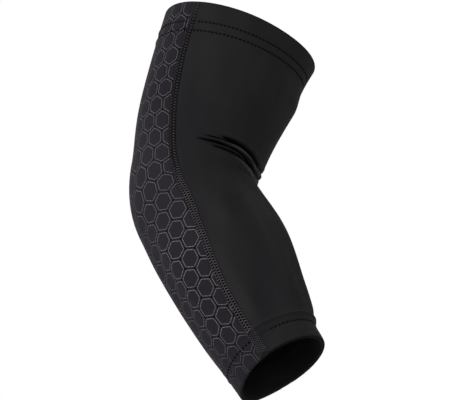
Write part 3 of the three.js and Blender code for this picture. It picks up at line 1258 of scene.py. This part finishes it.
@dataclass
class Panel(Piece):
    """A knit panel between the two seams, one round the front and one round the back."""

    node: str
    slot: Slot
    at_back: bool
    width: float
    flat_size: tuple[float, float]
    flat_area: float

    def build(
        self, material: bpy.types.Material, lining: bpy.types.Material, hems: list[bpy.types.Object]
    ) -> bpy.types.Object:
        """Makes the panel in place of its solid.

        Args:
            material: Its outer face.
            lining: Its inner face.
            hems: Pieces sewn to it. Not used.

        Returns:
            The panel.
        """
        rows = self.grid.rows(self.form, self.cloth)
        back_edge, front_edge = self.seam_edge(rows, self.cloth.slit)
        start, stop = (-back_edge, back_edge) if self.at_back else (front_edge, FULL_TURN - front_edge)
        share = self.grid.shares(self.width)
        angle = start[:, None] + (stop - start)[:, None] * share
        distance = np.broadcast_to(rows[:, None], angle.shape).copy()
        per_mm = self.form.angle_per_mm(rows, start)[:, None]
        from_edge = np.minimum(angle - start[:, None], stop[:, None] - angle) / per_mm
        relief = self.cloth.outer_relief(self.form, distance, angle)
        relief += self.cloth.seam_dip * bell(from_edge, self.cloth.seam_dip_reach)
        inside = self.cloth.panel_wall + self.form.fold_depths(distance, angle)
        below_crease = self.cloth.crease_relief(self.form, distance, angle) + self.cloth.least_wall
        inside = np.maximum(inside, below_crease)
        outer = self.form.points(distance, angle, np.minimum(relief, inside - self.cloth.skin))
        inner = self.form.points(distance, angle, inside)
        if self.at_back:
            marks = {"shade": self.darker_off_elbow(distance), "print": self.print_strength(distance, angle)}
        else:
            # Painted shade and painted highlight on the smooth knit.
            marks = {
                "shade": self.cloth.crease_shade(self.form, distance, angle),
                "highlight_share": self.cloth.highlight_share(self.form, distance, angle),
            }
        flat = self.flat_cloth(distance, angle)
        piece = wall_object(f"{self.node}_cloth", outer, inner, flat, marks=marks)
        piece.data.materials.append(material)
        piece.data.materials.append(lining)
        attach(piece, BODY)
        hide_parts(self.node)
        LOG.info("%s: %d points, %.4f m2 of cloth", piece.name, len(piece.data.vertices), cloth_area(piece))
        return piece

    def darker_off_elbow(self, distance: Array) -> Array:
        """How much darker the back is towards both mouths than over the elbow.

        Args:
            distance: Distances from the upper rim.

        Returns:
            The shade from 0 to 1 at each point.
        """
        shade_above, shade_below = 0.42, 0.2
        above = smooth_step(self.form.bend_middle - distance, 5, 70)
        below = smooth_step(distance - self.form.bend_middle, 20, 110)
        return shade_above * above + shade_below * below

    def print_strength(self, distance: Array, angle: Array) -> Array:
        """How strongly the honeycomb's pale lines show: least over the elbow, the hem and the back.

        Args:
            distance: Distances from the upper rim.
            angle: Angles round the sections.

        Returns:
            The strength from 0 to 1 at each point.
        """
        elbow_loss, hem_loss, back_loss = 0.45, 0.55, 0.5
        at_elbow = 1 - smooth_step(np.abs(distance - self.form.bend_middle), 15, 60)
        hems_from_rim = (self.form.length - distance) / self.cloth.hem_depth
        at_hem = 1 - smooth_step(hems_from_rim, 0.6, 1.6)
        at_back = 1 - smooth_step(np.abs(angle), math.radians(28), math.radians(52))
        return (1 - elbow_loss * at_elbow) * (1 - hem_loss * at_hem) * (1 - back_loss * at_back)


def cloth_area(piece: bpy.types.Object) -> float:
    """Area of one side of a piece of cloth, in square metres."""
    return sum(polygon.area for polygon in piece.data.polygons) / 2


@dataclass
class Hem(Piece):
    """A hem: the cloth that is turned in over a rim and lies inside the panels."""

    mouth: Mouth
    row_samples: int = 400
    columns: int = 180
    most_turn: float = 0.9

    def build(self, material: bpy.types.Material) -> bpy.types.Object:
        """Makes the hem in place of its solid.

        Args:
            material: Its cloth.

        Returns:
            The hem.
        """
        place = np.linspace(0, self.cloth.hem_depth, self.row_samples)
        step = np.where(place < self.cloth.hem_wall, self.grid.rim, self.grid.plain)
        rows = spread_by_step(place, step)
        if self.mouth is Mouth.LOWER:
            rows = self.form.length - rows[::-1]
        angle_once = np.linspace(0, FULL_TURN, self.columns, endpoint=False)
        distance, angle = np.meshgrid(rows, angle_once, indexing="ij")
        outside = self.cloth.panel_wall + self.cloth.gap
        turn = self.cloth.rim_turn(self.form, distance, self.cloth.hem_wall)
        outer = self.form.points(distance, angle, np.full_like(distance, outside))
        turned = np.minimum(turn, self.cloth.hem_wall * self.most_turn)
        inner_depth = outside + self.cloth.hem_wall - turned
        inner = self.form.points(distance, angle, inner_depth)
        closed = np.concatenate([angle, np.full((len(rows), 1), FULL_TURN)], 1)
        flat = self.flat_cloth(np.broadcast_to(rows[:, None], closed.shape), closed)
        piece = wall_object(f"{self.mouth.value}_hem_cloth", outer, inner, flat, is_ring=True)
        piece.data.materials.append(material)
        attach(piece, BODY)
        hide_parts(f"{self.mouth.value}_hem")
        LOG.info("%s: %d points", piece.name, len(piece.data.vertices))
        return piece


@dataclass(frozen=True)
class SeamStitch:
    """Sizes of the flat seam's stitches, in millimetres."""

    # Real rungs lie about 1.2 mm apart. They are drawn coarser, to show at the photo's size.
    pitch: float = 1.95
    thread: float = 0.62
    flatness: float = 0.8
    rise: float = 0.35
    half_width: float = 2.25
    rail_width: float = 0.36
    slant_below: float = 0.35
    slant_above: float = 1.1
    open_above: float = 0.35
    short_above: float = 0.4
    rail_share: float = 0.85
    dot_share: float = 0.45
    lattice_depth: float = 18.4
    lattice_pitch: float = 1.5
    lattice_thread: float = 0.36
    lattice_width: float = 3.4
    lattice_weave: float = 0.12
    rim_clear: float = 1.5
    change_reach: float = 15
    ground_shade: float = 0.9
    ground_fade: float = 2

    def share_above(self, form: SleeveForm, distance: Array) -> Array:
        """Share of the open stitch that the seam has above the elbow, at distances."""
        return 1 - smooth_step(distance - form.bend_middle, -self.change_reach, self.change_reach)


@dataclass
class Seam(Piece):
    """A flat seam between the panels: its ground, and the threads that cover it."""

    node: str
    side: Side
    stitch: SeamStitch = field(default_factory=SeamStitch)

    def ground(self, material: bpy.types.Material) -> bpy.types.Object:
        """Makes the strip that the threads lie on, in place of the seam's solid.

        Args:
            material: Its cloth.

        Returns:
            The strip.
        """
        rows = self.grid.rows(self.form, self.cloth)
        start, stop = self.seam_edge(rows)
        angle = start[:, None] + (stop - start)[:, None] * np.linspace(0, 1, 9)
        distance = np.broadcast_to(rows[:, None], angle.shape).copy()
        relief = self.cloth.outer_relief(self.form, distance, angle) + self.cloth.seam_sink
        inside = np.full_like(relief, self.cloth.panel_wall)
        outside = np.minimum(relief, inside - self.cloth.skin)
        outer = self.form.points(distance, self.side.value * angle, outside)
        inner = self.form.points(distance, self.side.value * angle, inside)
        from_rim = self.form.from_rim(distance)
        off_hem = smooth_step(from_rim, self.stitch.ground_fade, self.stitch.lattice_depth)
        marks = {"shade": self.stitch.ground_shade * off_hem}
        flat = self.flat_cloth(distance, angle)
        piece = wall_object(f"{self.node}_ground", outer, inner, flat, marks=marks)
        piece.data.materials.append(material)
        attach(piece, BODY)
        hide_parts(self.node)
        return piece

    def threads(
        self, name: str, distance: Array, across: Array, rise: Array, width: float
    ) -> bpy.types.Object:
        """Makes threads that lie over the seam.

        Args:
            name: The piece's name.
            distance: Distance of each thread's points from the upper rim.
            across: How far those points lie from the seam's middle line, in millimetres.
            rise: How far they stand above the surface.
            width: The threads' width.

        Returns:
            The threads.
        """
        middle = self.form.seam_angles(distance)
        angle = middle + across * self.form.angle_per_mm(distance, middle)
        relief = self.cloth.outer_relief(self.form, distance, angle)
        paths = self.form.points(distance, self.side.value * angle, relief - rise)
        up = -self.form.inward(distance, self.side.value * angle)
        shade = self.stitch.share_above(self.form, distance)
        height = width * self.stitch.flatness
        piece = thread_object(f"{self.node}_{name}", paths, up, width, height, shade)
        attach(piece, BODY)
        return piece

    def rungs(self) -> bpy.types.Object:
        """Makes the threads across the seam: closed rungs below the elbow, open strokes above.

        Returns:
            The threads.
        """
        stitch = self.stitch
        last = self.form.length - stitch.lattice_depth
        start = np.arange(stitch.rim_clear, last, stitch.pitch)
        above = stitch.share_above(self.form, start)
        slant = stitch.slant_below + (stitch.slant_above - stitch.slant_below) * above
        inner_end = stitch.open_above * above
        outer_end = stitch.half_width - stitch.short_above * above
        sink = 0.1
        t = np.linspace(0, 1, 7)
        distances = []
        acrosses = []
        for hand in (-1, 1):
            across = inner_end[:, None] + (outer_end - inner_end)[:, None] * t
            acrosses.append(hand * across)
            distances.append(start[:, None] + (slant[:, None] * t) + stitch.pitch * 0.5 * (hand < 0))
        distance = np.concatenate(distances)
        rise = np.broadcast_to(-sink + stitch.rise * np.sin(math.pi * t) ** 0.5, distance.shape)
        return self.threads("rungs", distance, np.concatenate(acrosses), rise, stitch.thread)

    def rails(self) -> bpy.types.Object:
        """Makes the rows of stitches along the seam's two edges and its middle.

        Returns:
            The threads.
        """
        stitch = self.stitch
        last = self.form.length - stitch.lattice_depth
        sink, lean = 0.05, 0.25
        t = np.linspace(0, 1, 6)
        distances = []
        acrosses = []
        for row, first in ((-1, stitch.rim_clear), (1, stitch.rim_clear), (0, self.form.bend_middle)):
            start = np.arange(first, last, stitch.pitch)
            shorter = (stitch.rail_share - stitch.dot_share) * stitch.share_above(self.form, start)
            span = stitch.pitch * (stitch.rail_share - shorter)
            distances.append(start[:, None] + span[:, None] * t)
            across = row * stitch.half_width + lean * (t - 0.5)
            acrosses.append(np.broadcast_to(across, distances[-1].shape))
        distance = np.concatenate(distances)
        rise = np.broadcast_to(-sink + stitch.rise * np.sin(math.pi * t), distance.shape)
        return self.threads("rails", distance, np.concatenate(acrosses), rise, stitch.rail_width)

    def lattice(self) -> bpy.types.Object:
        """Makes the close lattice of threads where the seam crosses the lower hem.

        Returns:
            The threads.
        """
        stitch = self.stitch
        first = self.form.length - stitch.lattice_depth
        rim_clear = 1.2
        last = self.form.length - stitch.lattice_pitch - rim_clear
        start = np.arange(first, last, stitch.lattice_pitch)
        t = np.linspace(0, 1, 13)
        distances = []
        acrosses = []
        for hand in (-1, 1):
            distances.append(start[:, None] + stitch.lattice_pitch * 2 * t - stitch.lattice_pitch)
            acrosses.append(np.broadcast_to(hand * stitch.lattice_width * (2 * t - 1), distances[-1].shape))
        distance = np.concatenate(distances)
        over = stitch.lattice_weave * (1 + np.cos(4 * math.pi * t))
        under = 2 * stitch.lattice_weave - over
        rise = np.concatenate([np.broadcast_to(weave, acrosses[0].shape) for weave in (over, under)])
        return self.threads("lattice", distance, np.concatenate(acrosses), rise, stitch.lattice_thread)


@dataclass
class NeedleRow(Piece):
    """A row of short stitches round the sleeve that holds a hem down."""

    name: str
    distance: float
    stitch: float = 1.5
    space: float = 1.4
    thread: float = 1.15
    flatness: float = 0.8
    sink: float = 0.1
    rise: float = 0.25
    seam_clear: float = 0.2
    bare_front: float = 0.0

    def build(self, material: bpy.types.Material) -> bpy.types.Object:
        """Makes the stitches all round.

        Args:
            material: Their thread.

        Returns:
            The row.
        """
        fine = np.linspace(0, FULL_TURN, 721)
        line = self.form.base_points(np.full_like(fine, self.distance), fine)
        run = np.concatenate([[0], np.cumsum(np.linalg.norm(np.diff(line, axis=0), axis=1))])
        count = round(run[-1] / (self.stitch + self.space))
        start = np.arange(count) * run[-1] / count
        t = np.linspace(0, 1, 6)
        angle = np.interp(start[:, None] + self.stitch * t, run, fine)
        seam = self.form.seam_angles(np.array([self.distance]))[0]
        from_back = np.minimum(angle, FULL_TURN - angle)
        per_mm = self.form.angle_per_mm(np.array([self.distance]), np.array([seam]))[0]
        past_seam = (from_back - seam) / per_mm
        edge = self.cloth.seam_width / 2 + self.seam_clear
        clear = ((past_seam < -edge) | (past_seam > edge + self.bare_front)).all(1)
        angle = angle[clear]
        distance = np.full_like(angle, self.distance)
        relief = self.cloth.outer_relief(self.form, distance, angle)
        rise = -self.sink + self.rise * np.sin(math.pi * t)
        paths = self.form.points(distance, angle, relief - rise)
        up = -self.form.inward(distance, angle)
        piece = thread_object(self.name, paths, up, self.thread, self.thread * self.flatness)
        piece.data.materials.append(material)
        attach(piece, BODY)
        return piece


@dataclass
class Sleeve:
    """The whole sleeve: panels, seams, hems and their stitches."""

    form: SleeveForm = field(default_factory=SleeveForm)
    cloth: Cloth = field(default_factory=Cloth)
    grid: Grid = field(default_factory=Grid)

    def build(self) -> None:
        """Makes every piece over its solid."""
        # Nylon knit is charcoal and matt. The seam thread is paler, the hem thread sinks in as black dots.
        smooth = knit_material("smooth_nylon_knit", KnitFinish("222223", "1e1e20"))
        comb = honeycomb_material("honeycomb_nylon_knit", HoneycombFinish())
        hem_knit = knit_material("turned_in_knit", KnitFinish("1d1d1e", "151516"))
        ground = knit_material("seam_ground_knit", KnitFinish("1f1e20", "19181a", "070608", loop_pitch=0.8))
        pale = thread_material("grey_brown_thread", ThreadFinish("625d60", "3e3b3e"))
        dull = thread_material("dull_grey_thread", ThreadFinish("4e4b4e", "353336"))
        dark = thread_material("black_thread", ThreadFinish("050505", "030303"))
        shared = (self.form, self.cloth, self.grid)
        hems = [Hem(*shared, mouth).build(hem_knit) for mouth in Mouth]
        stitches = []
        for node, side in (("near_seam", Side.NEAR), ("far_seam", Side.FAR)):
            seam = Seam(*shared, node, side)
            stitches.append(seam.ground(ground))
            for threads, thread in ((seam.rungs(), pale), (seam.rails(), pale), (seam.lattice(), dull)):
                threads.data.materials.append(thread)
                stitches.append(threads)
            LOG.info("%s: ground, rungs, rails and lattice", node)
        for number, distance in enumerate(self.cloth.needle_rows(self.form), start=1):
            bare = self.cloth.lower_row_start if distance > self.form.bend_end else 0.0
            row = NeedleRow(*shared, f"needle_row_{number}", distance, bare_front=bare)
            stitches.append(row.build(dark))
        front = Panel(*shared, "front_panel", Slot.SMOOTH_KNIT, False, 190, (0.19, 0.25), 0.038)
        back = Panel(*shared, "back_panel", Slot.HONEYCOMB_KNIT, True, 130, (0.14, 0.27), 0.030)
        front.build(smooth, hem_knit, [*hems, *stitches])
        back.build(comb, hem_knit, [])


@dataclass(frozen=True)
class Studio:
    """Camera at the photograph's angle, soft lights, and a pale floor far below.

    The camera looks up at the sleeve, so the floor lies below it too. Lengths are metres.
    """

    azimuth: float = math.radians(14.8)
    elevation: float = math.radians(-25.5)
    roll: float = math.radians(0.7)
    distance: float = 1.5
    aim_right: float = -0.02185
    aim_up: float = -0.0143
    pixels_per_mm: float = 1.45
    frame_width: int = 451
    sensor: float = 36.0
    floor_level: float = -1.7
    floor_size: float = 14.0
    floor_colour: str = "dcdcdc"
    floor_roughness: float = 0.9
    brightest_from: tuple[float, float, float] = (-0.85, -0.3, 0.42)
    darkest_share: float = 0.42
    darkest_at: float = -0.85
    brightest_at: float = -0.02
    key_place: tuple[float, float, float] = (-1.1, -1.45, 0.3)
    key_size: float = 0.9
    key_power: float = 10
    clip_end: float = 50

    def camera(self, pivot: Array) -> None:
        """Makes the camera.

        Args:
            pivot: End of the crease, which the view was measured from, in millimetres.
        """
        towards = Vector(
            (
                math.sin(self.azimuth) * math.cos(self.elevation),
                -math.cos(self.azimuth) * math.cos(self.elevation),
                math.sin(self.elevation),
            )
        )
        right = Vector((math.cos(self.azimuth), math.sin(self.azimuth), 0))
        upward = towards.cross(right)
        centre = Vector(pivot.tolist()) * MM
        place = centre + towards * self.distance
        aim = centre + right * self.aim_right + upward * self.aim_up
        turn = (aim - place).to_track_quat("-Z", "Y").to_matrix()
        data = bpy.data.cameras.new("photo_camera")
        data.sensor_width = self.sensor
        focal_pixels = self.pixels_per_mm * self.distance / MM
        data.lens = focal_pixels * self.sensor / self.frame_width
        data.clip_end = self.clip_end
        camera = bpy.data.objects.new("photo_camera", data)
        camera.matrix_world = (turn @ Matrix.Rotation(self.roll, 3, "Z")).to_4x4()
        camera.location = place
        bpy.context.scene.collection.objects.link(camera)
        bpy.context.scene.camera = camera

    def key_light(self) -> None:
        """Makes the soft lamp that faces the sleeve. Its power is in watts."""
        data = bpy.data.lights.new("key_light", "AREA")
        data.size = self.key_size
        data.energy = self.key_power
        lamp = bpy.data.objects.new("key_light", data)
        lamp.location = self.key_place
        lamp.rotation_euler = (-Vector(self.key_place)).to_track_quat("-Z", "Y").to_euler()
        bpy.context.scene.collection.objects.link(lamp)

    def floor(self) -> None:
        """Makes the pale floor."""
        half = self.floor_size / 2
        corners = [(-half, -half, 0), (half, -half, 0), (half, half, 0), (-half, half, 0)]
        mesh = bpy.data.meshes.new("floor")
        mesh.from_pydata(corners, [], [(0, 1, 2, 3)])
        floor = bpy.data.objects.new("floor", mesh)
        floor.location.z = self.floor_level
        colour = srgb(self.floor_colour)
        material = new_surface("pale_floor", Base_Color=colour, Roughness=self.floor_roughness)[2]
        mesh.materials.append(material)
        bpy.context.scene.collection.objects.link(floor)
        floor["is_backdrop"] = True

    def build(self, pivot: Array) -> None:
        """Makes the camera, the lights, the floor and the white surroundings.

        Args:
            pivot: End of the crease, in millimetres.
        """
        self.camera(pivot)
        self.key_light()
        self.floor()
        self.surroundings()
        bpy.context.scene.view_settings.view_transform = "Standard"

    def surroundings(self) -> None:
        """Makes the white surroundings, a little darker on the side away from the key light."""
        world = bpy.data.worlds.new("surroundings")
        world.use_nodes = True
        tree = world.node_tree
        direction = add_node(tree, "ShaderNodeTexCoord").outputs["Generated"]
        ends = {0: direction, 1: self.brightest_from}
        towards = add_node(tree, "ShaderNodeVectorMath", ends, operation="DOT_PRODUCT").outputs["Value"]
        ends = {0: towards, 1: self.darkest_at, 2: self.brightest_at, 3: self.darkest_share, 4: 1.0}
        strength = add_node(tree, "ShaderNodeMapRange", ends).outputs[0]
        background = tree.nodes["Background"]
        tree.links.new(strength, background.inputs["Strength"])
        background.inputs["Color"].default_value = srgb("ffffff")
        bpy.context.scene.world = world


def plain_bounds() -> list[Any]:
    """Bounds of the object as plain lists."""
    return json.loads(json.dumps(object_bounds(), default=list))


def main() -> None:
    """Dresses the frame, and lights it."""
    before = plain_bounds()
    sleeve = Sleeve()
    sleeve.build()
    Studio().build(sleeve.form.crease_line())
    after = plain_bounds()
    LOG.info("size before %s, after %s", before, after)


if __name__ == "__main__":
    logging.basicConfig(level=logging.INFO, format="%(message)s")
    main()
